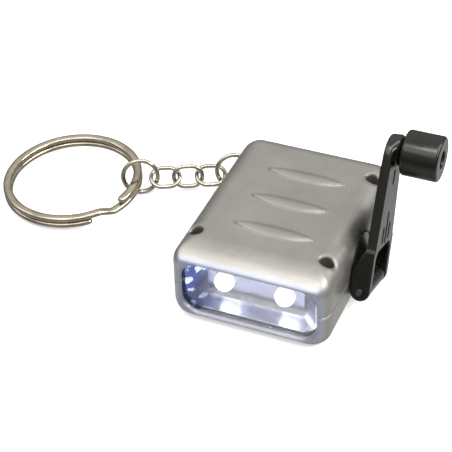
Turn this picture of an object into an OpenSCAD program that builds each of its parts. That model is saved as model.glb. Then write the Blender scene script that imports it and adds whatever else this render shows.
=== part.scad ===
// Hand crank key chain torch
// Frame: +Z up, lamp window towards -Y, crank on the +X side.
// The origin is the middle of the flat bottom face of the case. Millimetres.

/* [Case] */
// Case width across the crank axis
body_w = 40; // [34:0.5:50]
// Case length from lamp window to tail
body_l = 52; // [46:0.5:64]
// Case height
body_h = 20.8; // [20:0.2:26]
// Wall thickness of both shells
wall = 1.6; // [1.2:0.1:2.2]
// Rounding of all outer edges
edge_r = 5; // [3:0.25:6]
// How far the rounding would run on past the flat front
nose_over = 1; // [0.9:0.1:2.5]
// Length of the nose that slopes down towards the window
nose_l = 7; // [5:0.5:9]
// How far the nose drops at the top
nose_top = 2.5; // [1.5:0.1:2.5]

/* [Grip ridges] */
// Number of raised ridges on the top
ridge_count = 3; // [1:1:4]
// Spacing of the ridges along the case
ridge_pitch = 11.4; // [9:0.2:13]
// Length of one ridge across the case
ridge_len = 20; // [14:0.5:26]
// Sideways place of the ridges
ridge_x = 1; // [-3:0.25:3]
// Width of one ridge along the case
ridge_w = 4; // [3:0.2:8]
// Height of one ridge above the top
ridge_h = 0.5; // [0.3:0.1:1.2]

/* [Case screws] */
// Sideways distance of the screws from the middle
screw_x = 16.5; // [13:0.1:17]
// Lengthways distance of the screws from the middle
screw_y = 17.05; // [14:0.1:19]
// Diameter of the hole that takes the screw head
screw_hole_d = 3.7; // [3.4:0.1:4.4]
// Diameter of the screw head
screw_head_d = 3.3; // [3:0.1:4]
// Diameter of the screw thread
screw_d = 2; // [1.6:0.1:2.4]
// Screw length below its head
screw_len = 8.4; // [6:0.2:9]

/* [Lamp window] */
// Window width
window_w = 34.2; // [24:0.2:34.4]
// Window height
window_h = 14; // [9:0.2:14.2]
// Window corner radius
window_r = 4.5; // [2:0.25:5]
// Height of the window centre
window_z = 9.9; // [9.7:0.1:10.2]
// Thickness of the clear front lens
lens_t = 1.5; // [1:0.1:2]
// Width of the ledge that holds the lens
lens_ledge = 0.9; // [0.6:0.1:1.2]
// Distance between the two lamps
lamp_pitch = 15.4; // [12:0.2:18]
// Lamp bulb diameter
lamp_d = 5; // [3:0.1:5]

/* [Crank] */
// Lengthways place of the crank axis
crank_y = -2.1; // [-6:0.25:6]
// Distance from the crank axis to the knob axis
crank_radius = 29.2; // [26:0.2:34]
// Crank angle at rest, up from the tail direction
crank_angle = 71.5; // [0:0.5:90]
// Distance from the crank axis to the folding pin
hinge_offset = 4.8; // [4:0.1:5]
// Width of the crank arm at the hinge
arm_w = 16.2; // [13:0.2:18]
// Width of the crank arm at the knob
arm_top_w = 10.4; // [9:0.2:12]
// Thickness of the crank arm
arm_t = 2.4; // [2:0.1:3]
// Gap between the folded arm and the case side
arm_gap = 0.35; // [0.3:0.05:1]
// Radius of the rounded hinge ends
knuckle_r = 2.45; // [2.2:0.05:2.8]
// Width of the hub lug between the fork prongs
lug_w = 11.4; // [9:0.2:12]
// Length of the fork opening from the pin
fork_l = 9.6; // [8:0.2:12]
// Diameter of the hub disc
hub_d = 14.2; // [12:0.2:14.8]
// Hinge pin diameter
pin_d = 1.6; // [1.2:0.1:2]
// Knob diameter
knob_d = 11; // [9:0.2:13]
// Knob length
knob_l = 9; // [7:0.2:12]

/* [Gear train] */
// Tooth module
gear_m = 0.45; // [0.4:0.01:0.46]
// Teeth on each wheel
wheel_n = 30; // [24:2:30]
// Teeth on each pinion
pinion_n = 10; // [10:2:12]
// Backlash at the pitch circle
backlash = 0.16; // [0.1:0.01:0.25]
// Wheel thickness
wheel_t = 1.4; // [1:0.1:1.5]

/* [Key chain] */
// Outer diameter of the two jump rings
jump_d = 10.4; // [9:0.1:12]
// Wire diameter of the jump rings
jump_wire = 1.2; // [1:0.05:1.3]
// Outer length of a chain link
link_l = 8.8; // [8.4:0.1:9.2]
// Outer width of a chain link
link_w = 7; // [6.6:0.1:7.4]
// Wire diameter of a chain link
link_wire = 1.15; // [0.9:0.05:1.2]
// Outer diameter of the split key ring
key_d = 37.4; // [30:0.2:40]
// Radial width of the key ring wire
key_w = 2.3; // [1.8:0.1:2.6]
// Height of one turn of the key ring
key_t = 1.65; // [0.9:0.05:1.7]

/* [Hidden] */
$fn = 64;
// Clearance of parts that are pressed or dropped into a seat
seat = 0.05;
// Radial clearance of turning fits
run = 0.04;
// Overshoot of cutting bodies
cut = 1;

part_z = body_h / 2;
side_x = body_w / 2;
front_y = -body_l / 2;
tail_y = body_l / 2;
nose_y = front_y + nose_l;
// The nose starts with a slight crease, then follows one arc
nose_crease = 3;
nose_arc = nose_l * nose_l / (2 * (nose_top - nose_l * tan(nose_crease)));
nose_mid_y = nose_y + nose_arc * sin(nose_crease);
nose_mid_z = body_h - nose_arc * cos(nose_crease);
inner_x = side_x - wall;

// Lamp unit, from the window inwards
rim_t = 1;
flare_w = 0.7;
flare_d = 0.8;
flare_shy = 0.02;
lens_y = front_y + rim_t;
front_wall = rim_t + lens_t + 2 * seat + 0.1;
bay_y = front_y + front_wall;
flange_t = 1;
flange_y = lens_y + lens_t + 2 * seat;
trough_back_y = front_y + 6.5;
trough_wall = 1;
lamp_flange_d = lamp_d + 0.8;
lamp_centre_y = front_y + 5.7;
lamp_body_l = 5.2;
lamp_flange_t = 1;
lead_pitch = 2.54;
lead_d = 0.6;
lead_over = 1.5;
lamp_base_y = lamp_centre_y + lamp_body_l + lamp_flange_t;
board_t = 1.2;
board_w = 26;
board_h = 13;
board_y = lamp_base_y + seat;
rib_t = 1;
plate_rib_h = part_z - gear_m * (wheel_n / 2 + 0.85) - wall - 0.2;

// Crank, from the case side outwards
well_d = hub_d + 0.6;
well_depth = 2;
well_x = side_x - well_depth;
bearing_t = 1.6;
bearing_x = well_x - bearing_t;
bush_d = 5.2;
shaft_d = 3;
hub_t = well_depth - 0.1;
pin_x = side_x + arm_gap + knuckle_r;
arm_out_x = pin_x + knuckle_r;
arm_in_x = arm_out_x - arm_t;
arm_l = crank_radius + hinge_offset;
knob_neck_t = 1.4;
knob_neck_d = 7;
knob_x = arm_out_x + knob_neck_t + 0.35;
axle_d = 2.4;
axle_head_d = 3.6;
axle_head_t = 0.8;
knob_recess_d = 4.2;
knob_recess = 2.4;

// Gear train, all axes along X
mesh = gear_m * (wheel_n + pinion_n) / 2;
first_y = crank_y + mesh;
second_y = first_y + mesh;
rotor_y = first_y;
arbor_d = 1.5;
plate_t = 1;
plate_out_x = side_x - 8;
plate_in_x = plate_out_x - 7.4;
drive_x = plate_out_x - 2;
first_wheel_x = drive_x - 0.6 - wheel_t;
second_wheel_x = first_wheel_x - 0.6 - wheel_t;
pinion_over = 0.25;
tooth_top = 0.85;
tooth_root = 1.1;
press_deg = 20;
plate_z = body_h - 2 * wall - 0.4;
pillar_d = 2.2;
pillar_y = (first_y + second_y) / 2;
pillar_rise = sqrt(pow(gear_m * (wheel_n / 2 + tooth_top) + 0.3 + pillar_d / 2, 2) - pow(mesh / 2, 2));

// Generator
magnet_d = 9;
magnet_x = plate_out_x - 21;
magnet_l = 11.5;
can_d = 15.2;
can_t = 0.6;
can_x = plate_out_x - 23.5;
bobbin_x = plate_out_x - 22.2;
bobbin_l = 13.6;
bobbin_d = 13.8;
bobbin_bore = 9.9;
winding_d = 13.2;
rotor_tail = 1.2;

// Store cell and its contacts
cell_d = 16;
cell_t = 3.2;
cell_x = 2.8 - side_x;
cell_y = 10;
contact_t = 0.3;
contact_w = 4;

// Slide switch on the left side
switch_y = -6;
switch_travel = 2.4;
slider_knob_l = 5;
slider_knob_h = 2.6;
slider_proud = 1;
slider_flange_t = 0.7;
slider_flange_l = 9.6;
slider_flange_h = 5;
switch_l = 11;
switch_h = 6;
switch_depth = 3.6;
stem_l = 2;
stem_h = 1.4;

// Key chain laid out along one straight run from the tab
chain_turn = 25;
steep = 80;
shallow = 22;
link_gap = 0.4;
jump_gap = 0.85;
key_jump_gap = 0.6;
jump_r = (jump_d - jump_wire) / 2;
link_r = (link_w - link_wire) / 2;
link_half = (link_l - link_wire) / 2;
link_pitch = 2 * link_half - link_wire - link_gap;
jump_reach = jump_r + link_half - (jump_wire + link_wire) / 2;
jump_pitch = jump_reach - jump_gap;
key_jump_pitch = jump_reach - key_jump_gap;
tab_t = 1.9;
tab_r = 2.9;
tab_hole_d = 2.8;
tab_w = 5;
tab_reach = [-0.7, 2.65];
tab_at = [-side_x + tab_reach[0], tail_y + tab_reach[1]];
// The tab meets the case where its upright edge is a plain cylinder
tab_z = edge_r + 0.2;
chain_z = 5.6;
run_dir = [cos(chain_turn), sin(chain_turn), 0];
ring_body_at = [tab_at[0], tab_at[1], chain_z] - jump_r * run_dir;
body_dip = 1.2;
key_dip = 0.7;
link_c_at = ring_body_at - sqrt(pow(jump_pitch, 2) - pow(body_dip, 2)) * run_dir - [0, 0, body_dip];
link_b_at = link_c_at - link_pitch * run_dir;
link_a_at = link_b_at - link_pitch * run_dir;
ring_key_at = link_a_at - sqrt(pow(key_jump_pitch, 2) - pow(key_dip, 2)) * run_dir + [0, 0, key_dip];
key_r = key_d / 2 - key_w / 2;
key_lift = 1.2;
key_turn = 16.5;
key_dir = [cos(key_turn), sin(key_turn), 0];
key_lean = 2.6;
key_roll = 1.6;
key_inset = 0.9;
key_gap = 0.12;
key_end_turn = -58;
key_end_gap = 5;
key_bridge = 16;

// Screw bosses
boss_d = screw_hole_d + 2;
head_z = part_z + 2.2;
pilot_z = head_z - screw_len - 0.3;

// Switch opening and lever
slot_l = slider_knob_l + switch_travel + 0.6;
slot_h = slider_knob_h + 0.3;
switch_x = -inner_x + slider_flange_t + 0.35;

// Reflector trough
trough_w = window_w - 1;
trough_h = window_h - 1;
trough_back_w = window_w - 9.6;
trough_back_h = window_h - 3.4;
lamp_z = part_z;

// Crank foot, arm head and knob axle
fork_play = 0.2;
fork_r = 2;
foot_low = 0.3;
foot_top = 5.8;
arm_top_back = 1.5;
axle_in_x = arm_in_x;
axle_out_x = knob_x + knob_l - knob_recess;

// Inner end of the key tab
tab_inner = norm([tab_at[0] + side_x - edge_r, tab_at[1] - (tail_y - edge_r)]) - edge_r + 2 * wall;

// Shared shapes

module round_rect(w, h, r) {
  square([w - 2 * r, h], center = true);
  square([w, h - 2 * r], center = true);
  for (sx = [-1, 1], sy = [-1, 1])
    translate([sx * (w / 2 - r), sy * (h / 2 - r)])
      circle(r);
}

// Rounded plate standing across Y, from y0 with thickness t
module front_plate(w, h, r, y0, t) {
  translate([0, y0 + t, window_z])
    rotate([90, 0, 0])
      linear_extrude(t)
        round_rect(w, h, r);
}

// Cylinder along X at height z
module rod_x(d, x0, l, y, z, facets = 64) {
  translate([x0, y, z])
    rotate([0, 90, 0])
      cylinder(d = d, h = l, $fn = facets);
}

// Bar with every edge rounded, drawn in by s
module round_bar(s) {
  r = edge_r - s;
  x = body_w / 2 - s - r;
  z = body_h / 2 - s - r;
  y0 = front_y - nose_over + edge_r;
  y1 = tail_y - edge_r;
  translate([0, y1, part_z])
    rotate([90, 0, 0])
      linear_extrude(y1 - y0)
        round_rect(2 * (x + r), 2 * (z + r), r);
  translate([-x, y0 - r, part_z - z])
    cube([2 * x, y1 - y0 + 2 * r, 2 * z]);
  for (y = [y0, y1]) {
    for (sx = [-1, 1])
      translate([sx * x, y, part_z - z])
        cylinder(r = r, h = 2 * z);
    for (sz = [-1, 1])
      rod_x(2 * r, -x, 2 * x, y, part_z + sz * z);
    for (sx = [-1, 1], sz = [-1, 1])
      translate([sx * x, y, part_z + sz * z])
        rotate([90, 0, 0])
          sphere(r);
  }
}

// Space above the sloping nose, with the nose drawn in by s
module above_nose(s) {
  difference() {
    translate([-body_w, nose_mid_y - body_l, part_z])
      cube([2 * body_w, body_l, body_h]);
    rod_x(2 * (nose_arc - s), -2 * body_w, 4 * body_w, nose_mid_y, nose_mid_z, 180);
  }
}

// The case form, drawn in by s on every side
module case_form(s) {
  difference() {
    round_bar(s);
    translate([-body_w, front_y + s - body_l, -body_h])
      cube([2 * body_w, body_l, 3 * body_h]);
    above_nose(s);
  }
}

module room() {
  intersection() {
    case_form(wall);
    translate([-side_x, bay_y, 0])
      cube([body_w, body_l, body_h]);
  }
}

module above() {
  translate([-body_w, -body_l, part_z])
    cube([2 * body_w, 2 * body_l, body_h]);
}

module below() {
  translate([-body_w, -body_l, -body_h])
    cube([2 * body_w, 2 * body_l, body_h + part_z]);
}

module at_screws() {
  for (p = [[-screw_x, -screw_y], [screw_x, -screw_y], [screw_x, screw_y]])
    translate([p[0], p[1], 0])
      children();
}

module bosses() {
  intersection() {
    case_form(wall / 2);
    at_screws()
      cylinder(d = boss_d, h = body_h);
  }
}

// Everything cut through both shells on the crank side and at the switch
module side_openings() {
  rod_x(well_d, well_x, well_depth + cut, crank_y, part_z);
  rod_x(bush_d, bearing_x - cut, well_depth + bearing_t + cut, crank_y, part_z);
  translate([-side_x - cut, switch_y - slot_l / 2, part_z - slot_h / 2])
    cube([wall + 2 * cut, slot_l, slot_h]);
}

// Bevelled mouth of the window
module window_flare() {
  y0 = front_y - cut;
  y1 = front_y + flare_d;
  grow = flare_w * (y1 - y0) / flare_d;
  half_w = window_w / 2;
  half_h = window_h / 2;
  straight_x = half_w - window_r;
  straight_z = half_h - window_r;
  translate([-straight_x, 0, window_z])
    rotate([90, 0, 90])
      linear_extrude(2 * straight_x)
        polygon([[y0, -half_h - grow], [y1, -half_h], [y1, half_h], [y0, half_h + grow]]);
  translate([0, 0, window_z - straight_z])
    linear_extrude(2 * straight_z)
      polygon([[-half_w - grow, y0], [half_w + grow, y0], [half_w, y1], [-half_w, y1]]);
  for (sx = [-1, 1], sz = [-1, 1])
    translate([sx * straight_x, y0, window_z + sz * straight_z])
      rotate([-90, 0, 0])
        cylinder(r1 = window_r + grow - flare_shy, r2 = window_r - flare_shy, h = y1 - y0);
}

module lamp_openings() {
  window_flare();
  front_plate(window_w, window_h, window_r, front_y - cut, front_wall + 2 * cut);
  front_plate(window_w + 2 * lens_ledge, window_h + 2 * lens_ledge, window_r + lens_ledge,
    lens_y, front_wall);
}

// Wall of the crank well standing inside the case
module well_wall() {
  intersection() {
    rod_x(well_d + 3.2, bearing_x, well_depth + bearing_t - 0.6, crank_y, part_z);
    case_form(wall / 2);
  }
}

module shell_body() {
  difference() {
    union() {
      difference() {
        case_form(0);
        room();
      }
      bosses();
      well_wall();
    }
    side_openings();
    lamp_openings();
  }
}

module ridge() {
  bow = (ridge_len * ridge_len + ridge_w * ridge_w) / (4 * ridge_w);
  arch = (ridge_w * ridge_w + 4 * ridge_h * ridge_h) / (8 * ridge_h);
  intersection() {
    translate([0, 0, body_h - wall / 2])
      linear_extrude(wall / 2 + ridge_h)
        intersection() {
          translate([0, ridge_w / 2 - bow])
            circle(bow, $fn = 180);
          translate([0, bow - ridge_w / 2])
            circle(bow, $fn = 180);
        }
    translate([-ridge_len / 2, 0, body_h + ridge_h - arch])
      rotate([0, 90, 0])
        cylinder(r = arch, h = ridge_len, $fn = 120);
  }
}

// Shallow groove that shows where the shells meet
module seam() {
  seam_d = 0.35;
  difference() {
    translate([-side_x - cut, front_y - cut, part_z - cut])
      cube([body_w + 2 * cut, body_l + 2 * cut, cut + seam_d]);
    case_form(seam_d);
  }
}

module shell_top() {
  color("silver")
    difference() {
      union() {
        intersection() {
          shell_body();
          above();
        }
        for (i = [0 : ridge_count - 1])
          translate([ridge_x, (i - (ridge_count - 1) / 2) * ridge_pitch, 0])
            ridge();
      }
      seam();
      at_screws()
        translate([0, 0, head_z])
          cylinder(d = screw_hole_d, h = body_h);
      at_screws()
        cylinder(d = screw_d + 0.4, h = body_h);
    }
}

// Pair of upright ribs that hold a board or plate of thickness t
module holder_x(x0, t, y, l, h) {
  for (x = [x0 - 0.1 - rib_t, x0 + t + 0.1])
    translate([x, y - l / 2, wall - 0.2])
      cube([rib_t, l, h]);
}

module holder_y(y0, t, x, l, h) {
  for (y = [y0 - 0.1 - rib_t, y0 + t + 0.1])
    translate([x - l / 2, y, wall - 0.2])
      cube([l, rib_t, h]);
}

module cell_cradle() {
  difference() {
    translate([cell_x - 0.4, cell_y - 6, wall - 0.2])
      cube([cell_t + 0.8, 12, 3.2]);
    rod_x(cell_d + 0.1, cell_x - cut, cell_t + 2 * cut, cell_y, part_z);
  }
}

module key_tab() {
  lean = atan2(tab_at[1] - (tail_y - edge_r), tab_at[0] + side_x - edge_r);
  translate([tab_at[0], tab_at[1], tab_z])
    cylinder(r = tab_r, h = tab_t);
  translate([tab_at[0], tab_at[1], tab_z])
    rotate([0, 0, lean + 180])
      translate([0, -tab_w / 2, 0])
        cube([tab_inner, tab_w, tab_t]);
}

module shell_bottom() {
  color("silver")
    difference() {
      union() {
        intersection() {
          shell_body();
          below();
        }
        holder_y(board_y, board_t, 0, 8, 6);
        holder_x(plate_out_x, plate_t, crank_y + 1, 6, plate_rib_h);
        holder_x(plate_in_x, plate_t, second_y, 6, plate_rib_h);
        cell_cradle();
        switch_post();
        difference() {
          key_tab();
          case_form(wall / 2);
        }
      }
      at_screws()
        translate([0, 0, pilot_z])
          cylinder(d = screw_d, h = body_h);
      translate([tab_at[0], tab_at[1], 0])
        cylinder(d = tab_hole_d, h = body_h);
    }
}

module switch_post() {
  translate([-inner_x + slider_flange_t + 0.6, switch_y - 2, wall - 0.2])
    cube([switch_depth - 1, 4, part_z - switch_h / 2 - wall + 0.2]);
}

module case_screws() {
  color("dimgray")
    at_screws() {
      translate([0, 0, head_z - screw_len])
        cylinder(d = screw_d, h = screw_len);
      difference() {
        translate([0, 0, head_z])
          cylinder(d = screw_head_d, h = 1.3);
        for (a = [0, 90])
          translate([0, 0, head_z + 1.3])
            rotate([0, 0, a])
              cube([screw_head_d * 0.6, 0.5, 1.4], center = true);
      }
    }
}

// Lamp unit

module front_lens() {
  w = window_w + 2 * lens_ledge - 2 * seat;
  h = window_h + 2 * lens_ledge - 2 * seat;
  color("white", 0.4)
    front_plate(w, h, window_r + lens_ledge - seat, lens_y + seat, lens_t);
}

// Solid with straight slanting sides between two window sized outlines
module trough_form(grow, y0, y1, front_w, front_h, back_w, back_h) {
  intersection() {
    translate([0, 0, window_z - window_h])
      linear_extrude(2 * window_h)
        polygon([
          [-front_w / 2 - grow, y0], [front_w / 2 + grow, y0],
          [back_w / 2 + grow, y1], [-back_w / 2 - grow, y1]
        ]);
    translate([body_w / 2, 0, window_z])
      rotate([0, -90, 0])
        linear_extrude(body_w)
          polygon([
            [-front_h / 2 - grow, y0], [front_h / 2 + grow, y0],
            [back_h / 2 + grow, y1], [-back_h / 2 - grow, y1]
          ]);
    front_plate(front_w + 2 * grow, front_h + 2 * grow, window_r + grow, y0, y1 - y0);
  }
}

module at_lamps() {
  for (s = [-1, 1])
    translate([s * lamp_pitch / 2, 0, 0])
      children();
}

module reflector() {
  w = window_w + 2 * lens_ledge - 2 * seat;
  h = window_h + 2 * lens_ledge - 2 * seat;
  color("gainsboro")
    difference() {
      union() {
        front_plate(w, h, window_r + lens_ledge - seat, flange_y, flange_t);
        trough_form(trough_wall, flange_y, trough_back_y + trough_wall,
          trough_w - 1, trough_h - 1, trough_back_w, trough_back_h);
      }
      trough_form(0, flange_y - cut / 4, trough_back_y, trough_w, trough_h, trough_back_w, trough_back_h);
      at_lamps()
        translate([0, trough_back_y + 2 * trough_wall, lamp_z])
          rotate([90, 0, 0])
            cylinder(d = lamp_d + 0.2, h = 3 * trough_wall);
    }
}

module lamp() {
  translate([0, lamp_centre_y, lamp_z]) {
    rotate([-90, 0, 0])
      sphere(d = lamp_d);
    rotate([-90, 0, 0])
      cylinder(d = lamp_d, h = lamp_body_l + lamp_flange_t / 2);
    translate([0, lamp_body_l, 0])
      rotate([-90, 0, 0])
        cylinder(d = lamp_flange_d, h = lamp_flange_t);
    for (s = [-1, 1])
      translate([s * lead_pitch / 2, lamp_body_l + lamp_flange_t / 2, 0])
        rotate([-90, 0, 0])
          cylinder(d = lead_d, h = board_t + lead_over, $fn = 24);
  }
}

module led_left() {
  color("ivory")
    translate([-lamp_pitch / 2, 0, 0])
      lamp();
}

module led_right() {
  color("ivory")
    translate([lamp_pitch / 2, 0, 0])
      lamp();
}

module led_board() {
  color("darkgreen")
    difference() {
      translate([-board_w / 2, board_y, lamp_z - board_h / 2])
        cube([board_w, board_t, board_h]);
      at_lamps()
        for (s = [-1, 1])
          translate([s * lead_pitch / 2, board_y - cut, lamp_z])
            rotate([-90, 0, 0])
              cylinder(d = lead_d + 0.2, h = board_t + 2 * cut, $fn = 24);
    }
}

// Switch

module switch_body() {
  color("black")
    difference() {
      translate([switch_x, switch_y - switch_l / 2, part_z - switch_h / 2])
        cube([switch_depth, switch_l, switch_h]);
      translate([switch_x - cut, switch_y - (stem_l + switch_travel + 0.8) / 2, part_z - stem_h / 2 - 0.3])
        cube([cut + 2, stem_l + switch_travel + 0.8, stem_h + 0.6]);
    }
}

module switch_slider() {
  y0 = switch_y - switch_travel / 2;
  color("black") {
    difference() {
      translate([-side_x - slider_proud, y0 - slider_knob_l / 2, part_z - slider_knob_h / 2])
        cube([slider_proud + wall + 0.3, slider_knob_l, slider_knob_h]);
      for (i = [-1 : 1])
        translate([-side_x - slider_proud, y0 + i * 1.4, part_z])
          cube([0.6, 0.6, slider_knob_h + cut], center = true);
    }
    translate([-inner_x + 0.15, y0 - slider_flange_l / 2, part_z - slider_flange_h / 2])
      cube([slider_flange_t, slider_flange_l, slider_flange_h]);
    translate([-inner_x + 0.15, y0 - stem_l / 2, part_z - stem_h / 2])
      cube([slider_flange_t + 1.6, stem_l, stem_h]);
  }
}

// Store cell

module cell() {
  color("lightgray")
    union() {
      rod_x(cell_d, cell_x, cell_t - 0.4, cell_y, part_z);
      rod_x(cell_d - 3, cell_x, cell_t, cell_y, part_z);
    }
}

module contact_strip(x0) {
  translate([x0, cell_y - contact_w / 2, part_z - 4])
    cube([contact_t, contact_w, 10]);
}

module cell_contact_outer() {
  color("goldenrod")
    union() {
      contact_strip(cell_x - contact_t);
      translate([cell_x - contact_t, cell_y - contact_w / 2, part_z + 6 - contact_t])
        mirror([1, 0, 0])
          cube([0.7, contact_w, contact_t]);
    }
}

module cell_contact_inner() {
  color("goldenrod")
    union() {
      contact_strip(cell_x + cell_t);
      translate([cell_x + cell_t, cell_y - contact_w / 2, part_z + 6 - contact_t])
        cube([2, contact_w, contact_t]);
    }
}

// Gears

function roll(rb, r) = r <= rb ? 0 : tan(acos(rb / r)) * 180 / PI - acos(rb / r);

module gear_2d(n) {
  rp = gear_m * n / 2;
  rb = rp * cos(press_deg);
  ra = rp + tooth_top * gear_m;
  rr = rp - tooth_root * gear_m;
  steps = 4;
  base = 90 / n - backlash / rp / 4 * 180 / PI + roll(rb, rp);
  low = max(rr, rb);
  radii = concat([rr], [for (k = [0 : steps]) low + (ra - low) * k / steps]);
  flank = [for (r = radii) [r, base - roll(rb, r)]];
  polygon([
    for (i = [0 : n - 1], side = [-1, 1], k = [0 : steps + 1])
      let (f = flank[side < 0 ? k : steps + 1 - k], a = i * 360 / n + side * f[1])
        f[0] * [cos(a), sin(a)]
  ]);
}

// Gear with its axis along X; turn 1 puts a tooth gap where turn 0 has a tooth
module gear_x(n, x0, t, y, turn, bore) {
  translate([x0, y, part_z])
    rotate([90, 0, 90])
      linear_extrude(t)
        difference() {
          rotate(turn * 180 / n)
            gear_2d(n);
          circle(d = bore);
        }
}

module drive_gear() {
  color("whitesmoke")
    gear_x(wheel_n, drive_x, wheel_t, crank_y, 0, shaft_d);
}

// Pinion and wheel in one; the pinion meshes with the wheel at mate_x
module compound(y, wheel_x, mate_x) {
  gear_x(wheel_n, wheel_x, wheel_t, y, 0, arbor_d + 2 * run);
  gear_x(pinion_n, wheel_x, mate_x - wheel_x + wheel_t + pinion_over, y, 1, arbor_d + 2 * run);
}

module compound_first() {
  color("whitesmoke")
    compound(first_y, first_wheel_x, drive_x);
}

module compound_second() {
  color("whitesmoke")
    compound(second_y, second_wheel_x, first_wheel_x);
}

module rotor_pinion() {
  color("gold")
    gear_x(pinion_n, second_wheel_x - pinion_over / 2, wheel_t + pinion_over, rotor_y, 1, arbor_d);
}

module gear_plate(x0, y0, y1) {
  translate([x0, y0, part_z - plate_z / 2])
    cube([plate_t, y1 - y0, plate_z]);
}

module gear_plate_outer() {
  color("lightsteelblue")
    difference() {
      gear_plate(plate_out_x, crank_y - 4, second_y + 3.5);
      rod_x(shaft_d + 2 * run, plate_out_x - cut, plate_t + 2 * cut, crank_y, part_z);
      rod_x(arbor_d, plate_out_x - cut, plate_t + 2 * cut, first_y, part_z);
      rod_x(arbor_d, plate_out_x - cut, plate_t + 2 * cut, second_y, part_z);
    }
}

module gear_plate_inner() {
  color("lightsteelblue")
    difference() {
      gear_plate(plate_in_x, first_y - 5, second_y + 3.5);
      rod_x(arbor_d + 2 * run, plate_in_x - cut, plate_t + 2 * cut, rotor_y, part_z);
      rod_x(arbor_d, plate_in_x - cut, plate_t + 2 * cut, second_y, part_z);
    }
}

module plate_pillars() {
  gap = plate_out_x - plate_in_x - plate_t;
  color("silver")
    for (s = [-1, 1])
      rod_x(pillar_d, plate_in_x + plate_t, gap, pillar_y, part_z + s * pillar_rise);
}

module arbor_first() {
  color("silver")
    rod_x(arbor_d, first_wheel_x - 0.15, plate_out_x + plate_t - first_wheel_x + 0.15, first_y, part_z);
}

module arbor_second() {
  color("silver")
    rod_x(arbor_d, plate_in_x, plate_out_x + plate_t - plate_in_x, second_y, part_z);
}

module crank_shaft() {
  color("silver")
    rod_x(shaft_d, drive_x - 0.3, well_x + 1.4 - drive_x + 0.3, crank_y, part_z);
}

module shaft_bush() {
  color("goldenrod")
    difference() {
      rod_x(bush_d, bearing_x, bearing_t, crank_y, part_z);
      rod_x(shaft_d + 2 * run, bearing_x - cut, bearing_t + 2 * cut, crank_y, part_z);
    }
}

module shaft_clip() {
  clip_t = 0.6;
  color("dimgray")
    difference() {
      rod_x(shaft_d + 2.4, bearing_x - clip_t - 0.15, clip_t, crank_y, part_z);
      rod_x(shaft_d, bearing_x - clip_t - cut, clip_t + 2 * cut, crank_y, part_z);
      translate([bearing_x - clip_t - cut, crank_y - shaft_d * 0.3, part_z - shaft_d * 2])
        cube([clip_t + 2 * cut, shaft_d * 0.6, shaft_d * 2]);
    }
}

// Generator

module rotor_shaft() {
  color("silver")
    rod_x(arbor_d, can_x - rotor_tail, second_wheel_x + wheel_t + pinion_over / 2 - can_x + rotor_tail,
      rotor_y, part_z);
}

module rotor_magnet() {
  color("dimgray")
    difference() {
      rod_x(magnet_d, magnet_x, magnet_l, rotor_y, part_z);
      rod_x(arbor_d, magnet_x - cut, magnet_l + 2 * cut, rotor_y, part_z);
    }
}

module stator_can() {
  color("slategray")
    difference() {
      rod_x(can_d, can_x, plate_in_x - can_x, rotor_y, part_z);
      rod_x(can_d - 2 * can_t, can_x + can_t, plate_in_x - can_x, rotor_y, part_z);
      rod_x(arbor_d + 2 * run, can_x - cut, can_t + 2 * cut, rotor_y, part_z);
    }
}

module coil_bobbin() {
  flange = 0.7;
  color("ivory")
    difference() {
      union() {
        rod_x(bobbin_bore + 1, bobbin_x, bobbin_l, rotor_y, part_z);
        for (x = [bobbin_x, bobbin_x + bobbin_l - flange])
          rod_x(bobbin_d, x, flange, rotor_y, part_z);
      }
      rod_x(bobbin_bore, bobbin_x - cut, bobbin_l + 2 * cut, rotor_y, part_z);
    }
}

module coil_winding() {
  flange = 0.7;
  color("chocolate")
    difference() {
      rod_x(winding_d, bobbin_x + flange, bobbin_l - 2 * flange, rotor_y, part_z);
      rod_x(bobbin_bore + 1, bobbin_x, bobbin_l, rotor_y, part_z);
    }
}

// Crank, drawn with the arm along local +Y from the hub axis, outwards along X

module at_crank() {
  translate([0, crank_y, part_z])
    rotate([crank_angle, 0, 0])
      children();
}

// Bar along the hinge pin, s0 to s1 sideways
module pin_bar(d, s0, s1) {
  translate([pin_x, -hinge_offset, s0])
    cylinder(d = d, h = s1 - s0);
}

module crank_hub() {
  color("black")
    at_crank()
      difference() {
        union() {
          rod_x(hub_d, side_x - hub_t, hub_t, 0, 0);
          pin_bar(2 * knuckle_r - 0.2, -lug_w / 2, lug_w / 2);
          translate([side_x - 0.2, -hinge_offset - knuckle_r + 0.1, -lug_w / 2])
            cube([pin_x - side_x + 0.2, 2 * knuckle_r - 0.2, lug_w]);
        }
        rod_x(shaft_d, well_x - cut, cut + 1.4, 0, 0);
        pin_bar(pin_d, -lug_w, lug_w);
        // Only what lies inside the disc outline may pass the case side
        translate([side_x - hub_t - cut, 0, 0])
          rotate([0, 90, 0])
            difference() {
              cylinder(d = 4 * hub_d, h = hub_t + cut + 0.3);
              cylinder(d = hub_d, h = hub_t + cut + 0.3);
            }
      }
}

module hinge_pin() {
  color("silver")
    at_crank()
      pin_bar(pin_d, -arm_w / 2 - 0.2, arm_w / 2 + 0.2);
}

// Outline of the arm, along local y from the pin to the knob end
module arm_2d() {
  top_y = crank_radius - arm_top_back;
  polygon([
    [-arm_w / 2, -hinge_offset], [arm_w / 2, -hinge_offset],
    [arm_w / 2, 0], [arm_top_w / 2, top_y],
    [-arm_top_w / 2, top_y], [-arm_w / 2, 0]
  ]);
  translate([0, top_y])
    circle(d = arm_top_w);
}

// Lower end of the arm seen along the pin: thick at the knuckle, sloping up into the plate
module arm_foot_2d() {
  polygon([
    [pin_x - knuckle_r, -hinge_offset],
    [arm_out_x, -hinge_offset],
    [arm_out_x, foot_top],
    [arm_in_x, foot_top],
    [pin_x - knuckle_r, foot_low]
  ]);
}

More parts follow.
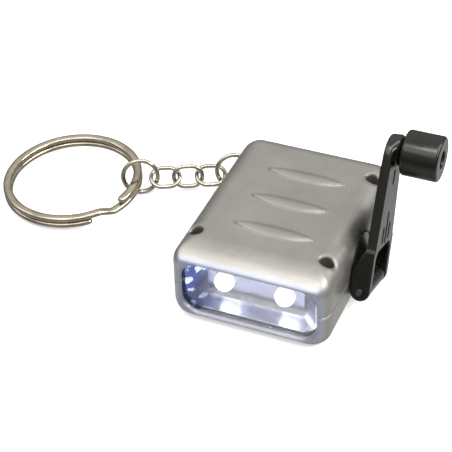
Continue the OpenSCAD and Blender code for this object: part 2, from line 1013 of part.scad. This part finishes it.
module fork_opening() {
  w = lug_w + 2 * fork_play;
  l = fork_l + 4 * knuckle_r;
  translate([side_x - cut, fork_l - hinge_offset - l / 2, 0])
    rotate([0, 90, 0])
      linear_extrude(arm_out_x)
        round_rect(w, l, fork_r);
}

module crank_arm() {
  slit_w = 0.8;
  slit_d = 0.5;
  slit_l = 8;
  slit_pitch = 2.4;
  slit_y = fork_l - hinge_offset + 1;
  color("black")
    at_crank()
      difference() {
        union() {
          translate([arm_in_x, 0, 0])
            rotate([0, 90, 0])
              linear_extrude(arm_t)
                arm_2d();
          translate([arm_out_x - 0.1, crank_radius, 0])
            rotate([0, 90, 0])
              cylinder(d1 = knob_neck_d + 1.2, d2 = knob_neck_d, h = knob_neck_t + 0.1);
          pin_bar(2 * knuckle_r, -arm_w / 2, arm_w / 2);
          translate([0, 0, -arm_w / 2])
            linear_extrude(arm_w)
              arm_foot_2d();
        }
        // Fork opening around the hub lug
        fork_opening();
        pin_bar(pin_d + 2 * run, -arm_w, arm_w);
        rod_x(axle_d, arm_in_x - 2, arm_t + 6, crank_radius, 0);
        // Short grooves on the outer face
        for (i = [-1 : 1])
          translate([arm_out_x - slit_d, slit_y + (i == 0 ? 0 : 0.6), i * slit_pitch - slit_w / 2])
            cube([cut, i == 0 ? slit_l : slit_l / 2, slit_w]);
        translate([arm_out_x - slit_d, crank_radius - knob_neck_d / 2 - slit_l / 2 - 1, -slit_w / 2])
          cube([cut, slit_l / 2, slit_w]);
      }
}

module knob_axle() {
  color("silver")
    at_crank() {
      rod_x(axle_d, axle_in_x, axle_out_x - axle_in_x + 0.1, crank_radius, 0);
      rod_x(axle_head_d, axle_out_x + 0.05, axle_head_t, crank_radius, 0);
    }
}

module crank_knob() {
  r = knob_d / 2;
  lip = 0.7;
  color("black")
    at_crank()
      translate([knob_x, crank_radius, 0])
        rotate([0, 90, 0])
          difference() {
            rotate_extrude($fn = 96)
              union() {
                square([r - lip, knob_l]);
                translate([0, lip])
                  square([r, knob_l - 2 * lip]);
                for (z = [lip, knob_l - lip])
                  translate([r - lip, z])
                    circle(lip);
              }
            translate([0, 0, -cut])
              cylinder(d = axle_d + 2 * run, h = knob_l + 2 * cut);
            translate([0, 0, knob_l - knob_recess])
              cylinder(d = knob_recess_d, h = knob_recess + cut);
          }
}

// Key chain

module jump_ring(at) {
  translate(at)
    rotate([0, 0, chain_turn])
      rotate([steep, 0, 0])
        rotate_extrude($fn = 72)
          translate([jump_r, 0])
            circle(d = jump_wire, $fn = 32);
}

module chain_link(at, tilt) {
  straight = link_l - link_w;
  translate(at)
    rotate([0, 0, chain_turn])
      rotate([tilt, 0, 0])
        for (s = [0, 180])
          rotate([0, 0, s]) {
            translate([straight / 2, 0, 0])
              rotate([0, 0, -90])
                rotate_extrude(angle = 180, $fn = 72)
                  translate([link_r, 0])
                    circle(d = link_wire, $fn = 32);
            translate([-straight / 2, link_r, 0])
              rotate([0, 90, 0])
                cylinder(d = link_wire, h = straight, $fn = 32);
          }
}

module ring_body() {
  color("lightgray")
    jump_ring(ring_body_at);
}

module chain_link_c() {
  color("lightgray")
    chain_link(link_c_at, shallow);
}

module chain_link_b() {
  color("lightgray")
    chain_link(link_b_at, steep);
}

module chain_link_a() {
  color("lightgray")
    chain_link(link_a_at, shallow);
}

module ring_key() {
  color("lightgray")
    jump_ring(ring_key_at);
}

// Part of a turn of flat wire, z0 to z0 + h
module turn_of_wire(a0, a1, w, z0, h) {
  rotate([0, 0, a0])
    rotate_extrude(angle = a1 - a0, $fn = 144)
      translate([key_r - w / 2, z0])
        square([w, h]);
}

// Two turns of flat wire, joined by the short stretch where the wire climbs
module key_ring() {
  half = key_t + key_gap / 2;
  last = key_end_turn + 360;
  shy = 0.1;
  color("darkgray")
    translate(ring_key_at - [0, 0, key_lift] - (key_r + key_inset) * key_dir)
      rotate([0, 0, key_turn])
        translate([key_r, 0, 0])
          rotate([key_roll, -key_lean, 0])
            translate([-key_r, 0, 0]) {
              turn_of_wire(key_end_turn, last - key_end_gap, key_w, -half, key_t);
              turn_of_wire(key_end_turn + key_bridge + key_end_gap, last + key_bridge,
                key_w, key_gap / 2, key_t);
              turn_of_wire(key_end_turn + 1, key_end_turn + key_bridge - 1, key_w - 2 * shy,
                -half + shy, 2 * (half - shy));
            }
}

shell_top();
shell_bottom();
case_screws();
front_lens();
reflector();
led_left();
led_right();
led_board();
switch_body();
switch_slider();
cell();
cell_contact_outer();
cell_contact_inner();
shaft_bush();
gear_plate_outer();
gear_plate_inner();
plate_pillars();
arbor_first();
arbor_second();
crank_shaft();
shaft_clip();
drive_gear();
compound_first();
compound_second();
rotor_shaft();
rotor_pinion();
rotor_magnet();
stator_can();
coil_bobbin();
coil_winding();
crank_hub();
hinge_pin();
crank_arm();
knob_axle();
crank_knob();
ring_body();
chain_link_a();
chain_link_b();
chain_link_c();
ring_key();
key_ring();
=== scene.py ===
"""Looks of the hand crank key chain torch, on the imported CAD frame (metres, +Z up, lamps to -Y)."""
import math

import bpy
import numpy as np
from mathutils import Matrix, Vector


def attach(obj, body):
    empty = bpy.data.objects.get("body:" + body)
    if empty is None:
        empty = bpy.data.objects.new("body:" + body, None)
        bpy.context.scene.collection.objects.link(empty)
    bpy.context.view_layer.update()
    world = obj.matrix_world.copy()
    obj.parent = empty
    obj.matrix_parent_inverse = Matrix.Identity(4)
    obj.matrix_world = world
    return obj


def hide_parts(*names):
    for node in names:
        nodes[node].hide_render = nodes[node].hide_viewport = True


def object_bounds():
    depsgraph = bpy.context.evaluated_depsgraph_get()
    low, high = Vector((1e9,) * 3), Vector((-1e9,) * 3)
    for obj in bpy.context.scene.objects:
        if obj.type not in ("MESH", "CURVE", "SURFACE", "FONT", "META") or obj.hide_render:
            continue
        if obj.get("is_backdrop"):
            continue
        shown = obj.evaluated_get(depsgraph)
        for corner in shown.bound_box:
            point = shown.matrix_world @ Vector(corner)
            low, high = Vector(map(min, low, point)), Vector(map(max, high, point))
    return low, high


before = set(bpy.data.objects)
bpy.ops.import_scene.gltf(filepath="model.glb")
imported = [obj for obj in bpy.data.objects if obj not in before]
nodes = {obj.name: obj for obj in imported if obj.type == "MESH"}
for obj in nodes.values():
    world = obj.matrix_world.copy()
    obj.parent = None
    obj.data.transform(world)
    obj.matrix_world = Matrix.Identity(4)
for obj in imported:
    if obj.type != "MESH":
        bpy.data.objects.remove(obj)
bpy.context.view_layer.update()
MM = 0.001


def add_object(name, data):
    obj = bpy.data.objects.new(name, data)
    bpy.context.scene.collection.objects.link(obj)
    return obj


# ---------------------------------------------------------------- material kit

MIX_A, MIX_B, MIX_OUT = 6, 7, 2  # the Mix node's colour sockets, which share their names with others
EDGE_LOW, EDGE_HIGH = 0.55, 0.66  # pointiness where a convex edge starts and where it is full
BEVEL_SAMPLES = 4


class Shader:
    """One principled material with rounded edges and textures in object space, in millimetres."""

    def __init__(self, name, edge_mm=0.25, **sockets):
        self.mat = bpy.data.materials.new(name)
        self.mat.use_nodes = True
        self.tree = self.mat.node_tree
        self.bsdf = self.tree.nodes["Principled BSDF"]
        self.coord = self.add("ShaderNodeTexCoord")
        bevel = self.add("ShaderNodeBevel", samples=BEVEL_SAMPLES)
        bevel.inputs["Radius"].default_value = edge_mm * MM
        self.normal = bevel.outputs["Normal"]
        for key, value in sockets.items():
            self.set(key.replace("_", " "), value)

    def add(self, kind, **props):
        node = self.tree.nodes.new(kind)
        for key, value in props.items():
            setattr(node, key, value)
        return node

    def link(self, a, b):
        self.tree.links.new(a, b)

    def set(self, socket, value):
        """Sets a constant on the principled shader; a colour is three numbers."""
        self.bsdf.inputs[socket].default_value = (*value, 1.0) if isinstance(value, tuple) else value

    def where(self, stretch=(1, 1, 1), turn=(0, 0, 0)):
        """Object coordinates in millimetres, stretched per axis and turned in degrees."""
        mapping = self.add("ShaderNodeMapping")
        mapping.inputs["Scale"].default_value = [s / MM for s in stretch]
        mapping.inputs["Rotation"].default_value = [math.radians(t) for t in turn]
        self.link(self.coord.outputs["Object"], mapping.inputs["Vector"])
        return mapping.outputs["Vector"]

    def axes(self):
        """X, Y and Z of the object coordinates, in millimetres."""
        split = self.add("ShaderNodeSeparateXYZ")
        self.link(self.where(), split.inputs["Vector"])
        return split.outputs["X"], split.outputs["Y"], split.outputs["Z"]

    def noise(self, scale, detail=3.0, rough=0.55, stretch=(1, 1, 1), distort=0.0):
        """Soft noise, with scale in features per millimetre."""
        node = self.add("ShaderNodeTexNoise")
        node.inputs["Scale"].default_value = scale
        node.inputs["Detail"].default_value = detail
        node.inputs["Roughness"].default_value = rough
        node.inputs["Distortion"].default_value = distort
        self.link(self.where(stretch), node.inputs["Vector"])
        return node.outputs["Fac"]

    def cells(self, scale, turn=(0, 0, 0), metric="EUCLIDEAN"):
        """One random colour per cell, with scale in cells per millimetre."""
        node = self.add("ShaderNodeTexVoronoi", distance=metric)
        node.inputs["Scale"].default_value = scale
        self.link(self.where(turn=turn), node.inputs["Vector"])
        return node.outputs["Color"]

    def ramp(self, fac, start, end):
        """A blend between two stops, each a position and a colour."""
        node = self.add("ShaderNodeValToRGB")
        for element, (position, colour) in zip(node.color_ramp.elements, (start, end)):
            element.position = position
            element.color = (*colour, 1.0)
        self.link(fac, node.inputs["Fac"])
        return node.outputs["Color"]

    def span(self, value, low, high, from_low=0.3, from_high=0.7):
        """Maps from_low..from_high to low..high; the defaults are where noise has most of its values."""
        node = self.add("ShaderNodeMapRange")
        node.inputs["From Min"].default_value = from_low
        node.inputs["From Max"].default_value = from_high
        node.inputs["To Min"].default_value = low
        node.inputs["To Max"].default_value = high
        self.link(value, node.inputs["Value"])
        return node.outputs["Result"]

    def math(self, op, a, b=0.0):
        node = self.add("ShaderNodeMath", operation=op)
        for socket, value in zip(node.inputs, (a, b)):
            if isinstance(value, (int, float)):
                socket.default_value = value
            else:
                self.link(value, socket)
        return node.outputs["Value"]

    def mix(self, fac, a, b, blend="MIX"):
        node = self.add("ShaderNodeMix", data_type="RGBA", blend_type=blend)
        if isinstance(fac, (int, float)):
            node.inputs["Factor"].default_value = fac
        else:
            self.link(fac, node.inputs["Factor"])
        for socket, value in ((node.inputs[MIX_A], a), (node.inputs[MIX_B], b)):
            if isinstance(value, tuple):
                socket.default_value = (*value, 1.0)
            else:
                self.link(value, socket)
        return node.outputs[MIX_OUT]

    def worn(self, base, amount, bare):
        """The base colour, rubbed towards a bare colour along convex edges."""
        pointy = self.add("ShaderNodeNewGeometry").outputs["Pointiness"]
        edges = self.span(pointy, 0.0, 1.0, EDGE_LOW, EDGE_HIGH)
        return self.mix(self.math("MULTIPLY", edges, amount), base, bare)

    def bump(self, glow_to_shade, strength, distance_mm):
        """Adds one layer of relief over those before it."""
        node = self.add("ShaderNodeBump")
        node.inputs["Strength"].default_value = strength
        node.inputs["Distance"].default_value = distance_mm * MM
        self.link(glow_to_shade, node.inputs["Height"])
        self.link(self.normal, node.inputs["Normal"])
        self.normal = node.outputs["Normal"]
        self.link(self.normal, self.bsdf.inputs["Normal"])

    def colour(self, socket):
        self.link(socket, self.bsdf.inputs["Base Color"])

    def rough(self, socket):
        self.link(socket, self.bsdf.inputs["Roughness"])


# ---------------------------------------------------------------- materials

def silver_lacquer():
    """Satin silver paint on moulded plastic: fine flake, spray mottling, and a painted bluish lamp glow
    on the rim at the window.
    """
    painted_glow_front, painted_glow_back = -25.8, -24.3
    s = Shader("silver_lacquer", edge_mm=1.35, Metallic=0.85, Coat_Weight=0.10, Coat_Roughness=0.28)
    cloud = s.noise(0.09, 3.0, 0.5)
    flake = s.cells(9.0)
    base = s.ramp(cloud, (0.3, (0.335, 0.322, 0.292)), (0.7, (0.385, 0.372, 0.340)))
    base = s.mix(0.22, base, flake, "SOFT_LIGHT")
    base = s.worn(base, 0.12, (0.56, 0.55, 0.52))
    _, y, _ = s.axes()
    # painted light: the lamps' bluish glow on the window rim, blended into the base colour towards the
    # front face
    base = s.mix(s.span(y, 0.9, 0.0, painted_glow_front, painted_glow_back), base, (0.45, 0.47, 0.56))
    s.colour(base)
    s.rough(s.span(s.noise(0.35, 4.0), 0.33, 0.43))
    s.bump(s.noise(2.6, 3.0, 0.6), 0.09, 0.06)
    s.bump(s.noise(11.0, 2.0, 0.6), 0.10, 0.02)
    return s.mat


def black_plastic(name, low, high, shine):
    """Moulded black plastic: satin skin, faint flow streaks, greyed edges, an olive sheen."""
    s = Shader(name, Specular_IOR_Level=shine, Specular_Tint=(1.0, 0.985, 0.88))
    smear = s.noise(0.18, 4.0, 0.6, (1, 1, 0.5), 0.6)
    base = s.ramp(smear, (0.3, (0.0025, 0.0025, 0.002)), (0.75, (0.007, 0.007, 0.006)))
    s.colour(s.worn(base, 0.5, (0.04, 0.04, 0.036)))
    s.rough(s.span(s.noise(0.55, 5.0, 0.65), low, high))
    s.bump(s.noise(3.2, 3.0, 0.6), 0.12, 0.05)
    s.bump(s.noise(0.25, 2.0), 0.15, 0.2)
    return s.mat


def plated(name, dark, light, low, high):
    """Plated or plain metal with handling scratches, dull patches and brighter edges."""
    s = Shader(name, Metallic=1.0)
    base = s.ramp(s.noise(0.22, 4.0, 0.6), (0.32, dark), (0.68, light))
    s.colour(s.worn(base, 0.5, tuple(min(1.0, c * 1.25) for c in light)))
    scratch = s.noise(1.3, 5.0, 0.7, distort=0.3)
    s.rough(s.span(scratch, low, high, 0.25, 0.75))
    s.bump(scratch, 0.06, 0.03)
    s.bump(s.noise(0.6, 2.0), 0.08, 0.08)
    return s.mat


def clear_window():
    """Clear moulded plastic with a slightly uneven surface."""
    s = Shader("clear_window", Base_Color=(0.97, 0.98, 1.0), IOR=1.46, Transmission_Weight=1.0)
    s.rough(s.span(s.noise(0.5, 4.0), 0.06, 0.16))
    s.bump(s.noise(0.16, 2.0), 0.05, 0.1)
    return s.mat


def mirror_coat():
    """Metallised reflector with painted light: a painted darker lavender shade above, a painted pale lamp
    glow below where it is also hazier, and dark blue and pale facets at its left end that are painted
    reflections.
    """
    end_x, facets_to_x = -14.0, -10.5
    painted_glow_to_z, painted_shade_from_z = 6.0, 7.5
    s = Shader("mirror_coat", Metallic=1.0)
    x, _, z = s.axes()
    toward_end = s.span(x, 1.0, 0.0, end_x, facets_to_x)
    waves = s.noise(0.12, 3.0)
    # painted shade (darker lavender) on the upper walls and painted pale lamp glow on the lower walls,
    # blended by height
    shaded_upper = s.ramp(waves, (0.3, (0.33, 0.34, 0.45)), (0.7, (0.41, 0.42, 0.52)))
    glow_lower = s.ramp(waves, (0.3, (0.88, 0.89, 0.91)), (0.7, (0.97, 0.97, 0.98)))
    glow_to_shade = s.span(z, 0.0, 1.0, painted_glow_to_z, painted_shade_from_z)
    painted_light_film = s.mix(glow_to_shade, glow_lower, shaded_upper)
    # painted reflections: dark blue and pale cells at the left end stand in for what the facets reflect
    facet = s.cells(0.55, (0, 38, 0), "CHEBYCHEV")
    painted_facet_reflections = s.ramp(facet, (0.60, (0.016, 0.05, 0.26)), (0.64, (0.72, 0.78, 0.96)))
    s.colour(s.mix(toward_end, painted_light_film, painted_facet_reflections))
    haze = s.span(glow_to_shade, 0.12, 0.0, 0.0, 1.0)
    s.rough(s.math("ADD", haze, s.span(s.noise(0.4, 3.0), 0.05, 0.16)))
    s.bump(s.noise(0.22, 2.0, 0.5), 0.18, 0.25)
    return s.mat


def lamp_resin():
    """Lit lamp: clear resin, brightest in the middle of the dome and dim at the foot."""
    lamp_x, lamp_z = 7.7, 10.4
    dome_y, foot_y = -22.8, -19.0
    s = Shader("lamp_resin", Base_Color=(0.95, 0.96, 1.0), IOR=1.5, Transmission_Weight=0.25,
               Emission_Color=(0.93, 0.94, 1.0))
    s.rough(s.span(s.noise(0.8, 3.0), 0.05, 0.14))
    s.bump(s.noise(0.5, 2.0), 0.05, 0.1)
    x, y, z = s.axes()
    off_x = s.math("SUBTRACT", s.math("ABSOLUTE", x), lamp_x)
    off_z = s.math("SUBTRACT", z, lamp_z)
    off_axis = s.math("SQRT", s.math("ADD", s.math("POWER", off_x, 2.0), s.math("POWER", off_z, 2.0)))
    forward = s.span(y, 1.0, 0.06, dome_y, foot_y)
    glow = s.math("MULTIPLY", forward, s.span(off_axis, 5.0, 1.5, 1.0, 2.5))
    s.link(glow, s.bsdf.inputs["Emission Strength"])
    return s.mat


def plain(name, dark, light, low, high, metallic=0.0, grain=2.0):
    """Small inside pieces: mottled colour, uneven gloss and a fine skin."""
    s = Shader(name, Metallic=metallic)
    s.colour(s.ramp(s.noise(0.4, 4.0, 0.6), (0.3, dark), (0.7, light)))
    s.rough(s.span(s.noise(0.9, 4.0), low, high))
    s.bump(s.noise(grain, 3.0, 0.6), 0.2, 0.08)
    return s.mat


def wound_copper():
    """Enamelled wire: turns side by side along the coil's X axis."""
    s = Shader("wound_copper", Metallic=0.7)
    wave = s.add("ShaderNodeTexWave", wave_type="BANDS", bands_direction="X")
    wave.inputs["Scale"].default_value = 1.6
    wave.inputs["Distortion"].default_value = 0.4
    s.link(s.where(), wave.inputs["Vector"])
    turns = wave.outputs["Fac"]
    s.colour(s.ramp(turns, (0.1, (0.16, 0.05, 0.018)), (0.8, (0.62, 0.25, 0.09))))
    s.rough(s.span(s.noise(0.9, 3.0), 0.22, 0.4))
    s.bump(turns, 0.7, 0.12)
    return s.mat


silver = silver_lacquer()
crank_black = black_plastic("crank_black", 0.12, 0.26, 0.6)
knob_black = black_plastic("knob_black", 0.10, 0.24, 0.5)
chain_nickel = plated("chain_nickel", (0.42, 0.38, 0.31), (0.66, 0.61, 0.52), 0.10, 0.22)
ring_nickel = plated("ring_nickel", (0.35, 0.305, 0.225), (0.54, 0.485, 0.385), 0.10, 0.22)
steel = plated("steel", (0.42, 0.42, 0.42), (0.60, 0.60, 0.59), 0.22, 0.42)
screw_steel = plated("screw_steel", (0.26, 0.25, 0.23), (0.42, 0.41, 0.39), 0.25, 0.45)
dark_steel = plated("dark_steel", (0.10, 0.10, 0.11), (0.20, 0.20, 0.22), 0.25, 0.45)
brass = plated("brass", (0.50, 0.36, 0.13), (0.72, 0.55, 0.24), 0.22, 0.40)
window = clear_window()
mirror = mirror_coat()
lamp = lamp_resin()
board = plain("board_green", (0.02, 0.10, 0.04), (0.05, 0.19, 0.08), 0.35, 0.55)
gear_white = plain("gear_white", (0.72, 0.71, 0.66), (0.86, 0.85, 0.80), 0.38, 0.55)
magnet = plain("magnet_dark", (0.05, 0.05, 0.055), (0.12, 0.12, 0.125), 0.45, 0.65, 0.6, 4.0)
copper = wound_copper()

LOOK = {
    "shell_top": silver, "shell_bottom": silver, "case_screws": screw_steel,
    "front_lens": window, "reflector": mirror, "led_left": lamp, "led_right": lamp, "led_board": board,
    "switch_body": knob_black, "switch_slider": knob_black,
    "cell": steel, "cell_contact_outer": brass, "cell_contact_inner": brass,
    "gear_plate_outer": steel, "gear_plate_inner": steel, "plate_pillars": steel,
    "arbor_first": steel, "arbor_second": steel,
    "crank_shaft": steel, "shaft_bush": brass, "shaft_clip": steel,
    "drive_gear": gear_white, "compound_first": gear_white, "compound_second": gear_white,
    "rotor_shaft": steel, "rotor_pinion": brass, "rotor_magnet": magnet,
    "stator_can": steel, "coil_bobbin": gear_white, "coil_winding": copper,
    "crank_hub": crank_black, "hinge_pin": dark_steel, "crank_arm": crank_black,
    "knob_axle": steel, "crank_knob": knob_black,
    "ring_body": chain_nickel, "chain_link_a": chain_nickel, "chain_link_b": chain_nickel,
    "chain_link_c": chain_nickel, "ring_key": chain_nickel, "key_ring": ring_nickel,
}
for name, mat in LOOK.items():
    slots = nodes[name].data.materials
    slots.clear()
    slots.append(mat)

# ---------------------------------------------------------------- soft edges on the moulded pieces

WELD_MM = 0.002
FLAT_DEGREES, SHARP_DEGREES = 0.5, 35
BEVEL_SEGMENTS = 3
VOXEL_MM = 0.2
SMOOTH_FACTOR = 0.5
KNOB_AXLE_Y, KNOB_AXLE_Z = 0.007165, 0.038091
DOME_FROM_MM, DOME_TO_MM = 1.6, 6.0  # round the knob's axle
DOME_FADE_IN_MM, DOME_FADE_OUT_MM = 0.6, 0.8
DOME_ROUNDS = 60


def soften(name, width_mm):
    """Rounds a CAD node's sharp edges: weld the tessellation, merge its flats, then bevel."""
    obj = nodes[name]
    weld = obj.modifiers.new("weld", "WELD")
    weld.merge_threshold = WELD_MM * MM
    flat = obj.modifiers.new("flats", "DECIMATE")
    flat.decimate_type = "DISSOLVE"
    flat.angle_limit = math.radians(FLAT_DEGREES)
    bevel = obj.modifiers.new("edges", "BEVEL")
    bevel.width = width_mm * MM
    bevel.segments = BEVEL_SEGMENTS
    bevel.limit_method = "ANGLE"
    bevel.angle_limit = math.radians(SHARP_DEGREES)
    bevel.harden_normals = True
    bevel.miter_outer = "MITER_ARC"


def smooth(obj, name, rounds):
    modifier = obj.modifiers.new(name, "SMOOTH")
    modifier.factor = SMOOTH_FACTOR
    modifier.iterations = rounds
    return modifier


def dome_end(obj):
    """Rounds the arm's end off further round the knob's axle, and leaves the edge of its bore."""
    shaped = obj.evaluated_get(bpy.context.evaluated_depsgraph_get())
    obj.data = bpy.data.meshes.new_from_object(shaped)
    obj.modifiers.clear()
    group = obj.vertex_groups.new(name="dome")
    for vertex in obj.data.vertices:
        away = math.hypot(vertex.co.y - KNOB_AXLE_Y, vertex.co.z - KNOB_AXLE_Z) / MM
        rise = (away - DOME_FROM_MM) / DOME_FADE_IN_MM
        fall = (DOME_TO_MM - away) / DOME_FADE_OUT_MM
        weight = min(1.0, rise, fall)
        if weight > 0:
            group.add([vertex.index], weight, "REPLACE")
    smooth(obj, "dome", DOME_ROUNDS).vertex_group = group.name


def moulded(name, piece, body, rounds, domed=False):
    """Stands for a CAD node with a copy of its mesh whose every edge is moulded round."""
    mesh = nodes[name].data.copy()
    mesh.name = piece
    obj = add_object(piece, mesh)
    skin = obj.modifiers.new("skin", "REMESH")
    skin.mode = "VOXEL"
    skin.voxel_size = VOXEL_MM * MM
    skin.use_smooth_shade = True
    smooth(obj, "round_off", rounds)
    if domed:
        dome_end(obj)
    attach(obj, body)
    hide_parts(name)


soften("crank_knob", 0.2)
soften("switch_slider", 0.25)
moulded("crank_arm", "crank_arm_moulding", "arm", 14, domed=True)
moulded("crank_hub", "crank_hub_moulding", "crank", 10)

# ---------------------------------------------------------------- key ring wound from one wire

WIRE_W, WIRE_T = 2.3 * MM, 1.65 * MM  # across and along the ring's axis
TURN_GAP = 0.06 * MM  # half the gap between the two turns
JOGGLE_FROM, JOGGLE_SPAN, END_GAP = -41.5, 17.0, 6.0  # degrees round the ring
STEPS, SIDES = 420, 20
TIP_STEPS, TIP_SIZE = 3, 0.55  # each end of the wire rounds down to this size
SECTION_POWER = 0.9  # below 1 the section is fuller than an ellipse


def disc_frame(name):
    """Middle, axes and outer radius of a flat round node, from its own mesh."""
    points = np.array([v.co for v in nodes[name].data.vertices], float)
    middle = points.mean(0)
    up = np.linalg.svd(points - middle, full_matrices=False)[2][2]
    up *= np.sign(up[2])
    across = np.cross((0.0, 1.0, 0.0), up)
    across /= np.linalg.norm(across)
    axes = np.stack([across, np.cross(up, across), up])
    local = (points - middle) @ axes.T
    low, high = local.min(0), local.max(0)
    return middle + (low + high) / 2 @ axes, axes, (high[0] - low[0]) / 2


def fuller(value):
    return math.copysign(abs(value) ** SECTION_POWER, value)


def wire_points():
    """Two turns of rounded wire: the upper turn dips through a joggle and runs on as the lower one."""
    middle, axes, outer = disc_frame("key_ring")
    line_r = outer - WIRE_W / 2
    level = WIRE_T / 2 + TURN_GAP
    first, last = JOGGLE_FROM + JOGGLE_SPAN + END_GAP, JOGGLE_FROM + 720 - END_GAP
    points = []
    for i in range(STEPS + 1):
        turn = first + (last - first) * i / STEPS
        k = min(1.0, max(0.0, (turn - JOGGLE_FROM - 360) / JOGGLE_SPAN))
        z = level * (1 - 2 * k * k * (3 - 2 * k))
        tip = min(i, STEPS - i)
        full = math.sqrt(1 - (1 - tip / TIP_STEPS) ** 2) if tip < TIP_STEPS else 1.0
        size = TIP_SIZE + (1 - TIP_SIZE) * full
        a = math.radians(turn)
        for j in range(SIDES):
            b = 2 * math.pi * j / SIDES
            r = line_r + fuller(math.cos(b)) * WIRE_W / 2 * size
            h = z + fuller(math.sin(b)) * WIRE_T / 2 * size
            points.append(tuple(middle + np.array((math.cos(a) * r, math.sin(a) * r, h)) @ axes))
    return points


def wound_ring():
    """Stands for the key ring with one wire that shows the joggle and both of its ends."""
    faces = []
    for i in range(STEPS):
        here, there = i * SIDES, (i + 1) * SIDES
        for j in range(SIDES):
            n = (j + 1) % SIDES
            faces.append((here + j, here + n, there + n, there + j))
    faces.append(tuple(range(SIDES - 1, -1, -1)))
    faces.append(tuple(STEPS * SIDES + j for j in range(SIDES)))
    mesh = bpy.data.meshes.new("key_ring_wire")
    mesh.from_pydata(wire_points(), [], faces)
    mesh.validate()
    mesh.update()
    for poly in mesh.polygons:
        poly.use_smooth = len(poly.vertices) == 4
    mesh.materials.append(ring_nickel)
    obj = add_object("key_ring_wire", mesh)
    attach(obj, "key_loop")
    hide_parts("key_ring")


wound_ring()

# ---------------------------------------------------------------- camera, floor and light

IMAGE_PX = 452  # the photograph is square
FOCAL_PX = 1500
SENSOR_MM = 36.0
AZIMUTH, ELEVATION, DISTANCE = 20.72, 39.26, 0.3718
TARGET, TARGET_PX = (0, 0, 0.009), (286.1, 240.7)  # this point of the case shows at this pixel
FLOOR_REACH, FLOOR_GAP = 3.0, 0.00002

# grey of the room by height, from straight down (0) to straight up (1)
ROOM = ((0.0, 0.34), (0.18, 0.63), (0.40, 0.18), (0.50, 0.22), (0.68, 0.50), (0.80, 0.82), (1.0, 1.05))
WHITE, WARM = (1.0, 1.0, 1.0), (1.0, 0.99, 0.97)
SOFTBOXES = (  # name, place, aim, size, watts, colour
    ("top_box", (-0.15, -0.28, 0.54), (0, 0, 0), (0.50, 0.36), 1.06, WARM),
    ("corner_box", (0.46, 0.06, 0.38), (0, 0, 0.01), (0.60, 0.16), 2.9, WHITE),
    ("knob_box", (0.06, -0.01, 0.30), (0.036, 0.007, 0.038), (0.28, 0.06), 0.30, WHITE),
    ("left_box", (-0.60, -0.10, 0.45), (0, 0, 0.01), (0.25, 0.35), 0.4, WHITE),
)


def camera():
    """The photograph's view, fitted to the outline of the case and its screw holes."""
    data = bpy.data.cameras.new("photo_view")
    data.sensor_width = SENSOR_MM
    data.lens = SENSOR_MM * FOCAL_PX / IMAGE_PX
    data.clip_start, data.clip_end = 0.01, 10.0
    turn, lift = math.radians(AZIMUTH), math.radians(ELEVATION)
    back = Vector((math.sin(turn) * math.cos(lift), -math.cos(turn) * math.cos(lift), math.sin(lift)))
    right = Vector((math.cos(turn), math.sin(turn), 0.0))
    up = back.cross(right)
    pan = math.atan((TARGET_PX[0] - IMAGE_PX / 2) / FOCAL_PX)
    tilt = math.atan((IMAGE_PX / 2 - TARGET_PX[1]) / FOCAL_PX)
    panned_right = right * math.cos(pan) - back * math.sin(pan)
    panned_forward = -back * math.cos(pan) - right * math.sin(pan)
    tilted_up = up * math.cos(tilt) + panned_forward * math.sin(tilt)
    tilted_forward = panned_forward * math.cos(tilt) - up * math.sin(tilt)
    cam = add_object("photo_view", data)
    turned = Matrix((panned_right, tilted_up, -tilted_forward)).transposed().to_4x4()
    cam.matrix_world = Matrix.Translation(Vector(TARGET) + back * DISTANCE) @ turned
    bpy.context.scene.camera = cam


def floor():
    """Pale floor that metal and black plastic don't mirror, so they show the darker room."""
    r = FLOOR_REACH
    mesh = bpy.data.meshes.new("floor")
    mesh.from_pydata([(-r, -r, 0), (r, -r, 0), (r, r, 0), (-r, r, 0)], [], [(0, 1, 2, 3)])
    obj = add_object("floor", mesh)
    obj.location.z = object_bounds()[0].z - FLOOR_GAP
    pale = Shader("pale_floor", Base_Color=(0.93, 0.93, 0.93), Roughness=0.75, Specular_IOR_Level=0.2,
                  Emission_Color=WHITE, Emission_Strength=0.36)
    mesh.materials.append(pale.mat)
    obj.visible_glossy = False
    obj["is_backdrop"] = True


def softbox(name, place, aim, size, watts, colour):
    data = bpy.data.lights.new(name, "AREA")
    data.shape = "RECTANGLE"
    data.size, data.size_y = size
    data.energy = watts
    data.color = colour
    obj = add_object(name, data)
    obj.location = place
    obj.rotation_euler = (Vector(aim) - Vector(place)).to_track_quat("-Z", "Y").to_euler()


def studio():
    """Grey room, bright overhead, with soft boxes that draw the highlights."""
    world = bpy.data.worlds.new("studio")
    bpy.context.scene.world = world
    world.use_nodes = True
    tree = world.node_tree
    coord = tree.nodes.new("ShaderNodeTexCoord")
    split = tree.nodes.new("ShaderNodeSeparateXYZ")
    glow_to_shade = tree.nodes.new("ShaderNodeMapRange")
    glow_to_shade.inputs["From Min"].default_value = -1.0
    ramp = tree.nodes.new("ShaderNodeValToRGB")
    elements = ramp.color_ramp.elements
    greys = [(position, (grey, grey, grey, 1.0)) for position, grey in ROOM]
    elements[0].color, elements[1].color = greys[0][1], greys[-1][1]
    for position, colour in greys[1:-1]:
        elements.new(position).color = colour
    tree.links.new(coord.outputs["Generated"], split.inputs["Vector"])
    tree.links.new(split.outputs["Z"], glow_to_shade.inputs["Value"])
    tree.links.new(glow_to_shade.outputs["Result"], ramp.inputs["Fac"])
    tree.links.new(ramp.outputs["Color"], tree.nodes["Background"].inputs["Color"])
    for box in SOFTBOXES:
        softbox(*box)
    bpy.context.scene.view_settings.view_transform = "Standard"


camera()
floor()
studio()
